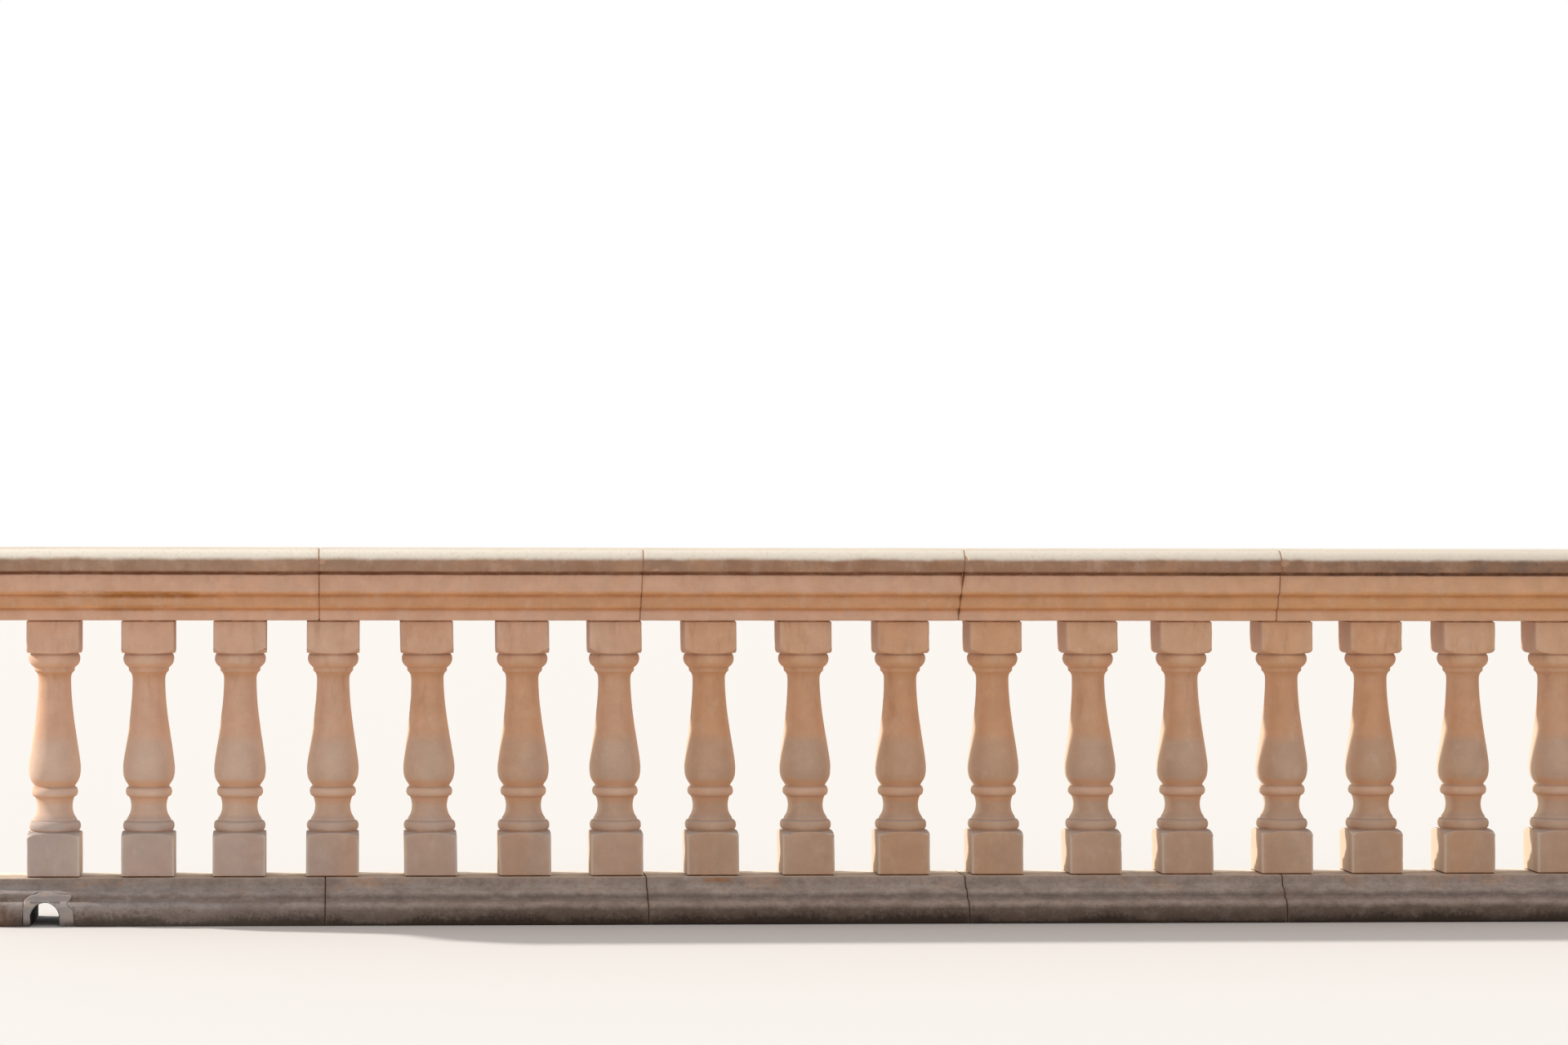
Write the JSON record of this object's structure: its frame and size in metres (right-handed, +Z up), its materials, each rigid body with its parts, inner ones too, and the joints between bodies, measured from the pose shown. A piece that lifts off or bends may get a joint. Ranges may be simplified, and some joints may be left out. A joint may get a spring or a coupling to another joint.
{
  "type": "stone balustrade",
  "caption": "Straight run of garden balustrade in weathered stone: turned balusters between a moulded plinth with a small arched drain and a moulded handrail.",
  "frame": {"origin": "floor level, under the middle of the run's length and width", "axes": "+X along the run to the right as seen from the front, -Y the front, +Z up"},
  "size_m": [4.8, 0.26, 0.933],
  "materials": {
    "handrail_stone": "matte",
    "baluster_stone": "matte",
    "plinth_stone": "matte",
    "joint_mortar": "matte",
    "repair_mortar": "matte"
  },
  "bodies": {
    "root": {"handrail_1": "handrail_stone", "handrail_2": "handrail_stone", "handrail_3": "handrail_stone", "handrail_4": "handrail_stone", "handrail_5": "handrail_stone", "handrail_6": "handrail_stone", "plinth_1": "plinth_stone", "plinth_2": "plinth_stone", "plinth_3": "plinth_stone", "plinth_4": "plinth_stone", "plinth_5": "plinth_stone", "plinth_6": "plinth_stone", "baluster_01": "baluster_stone", "baluster_02": "baluster_stone", "baluster_03": "baluster_stone", "baluster_04": "baluster_stone", "baluster_05": "baluster_stone", "baluster_06": "baluster_stone", "baluster_07": "baluster_stone", "baluster_08": "baluster_stone", "baluster_09": "baluster_stone", "baluster_10": "baluster_stone", "baluster_11": "baluster_stone", "baluster_12": "baluster_stone", "baluster_13": "baluster_stone", "baluster_14": "baluster_stone", "baluster_15": "baluster_stone", "baluster_16": "baluster_stone", "baluster_17": "baluster_stone", "baluster_18": "baluster_stone", "baluster_19": "baluster_stone", "baluster_20": "baluster_stone", "handrail_mortar": "joint_mortar", "plinth_mortar": "joint_mortar", "head_mortar": "joint_mortar", "foot_mortar": "joint_mortar", "drain_mortar": "repair_mortar"}
  },
  "joints": []
}
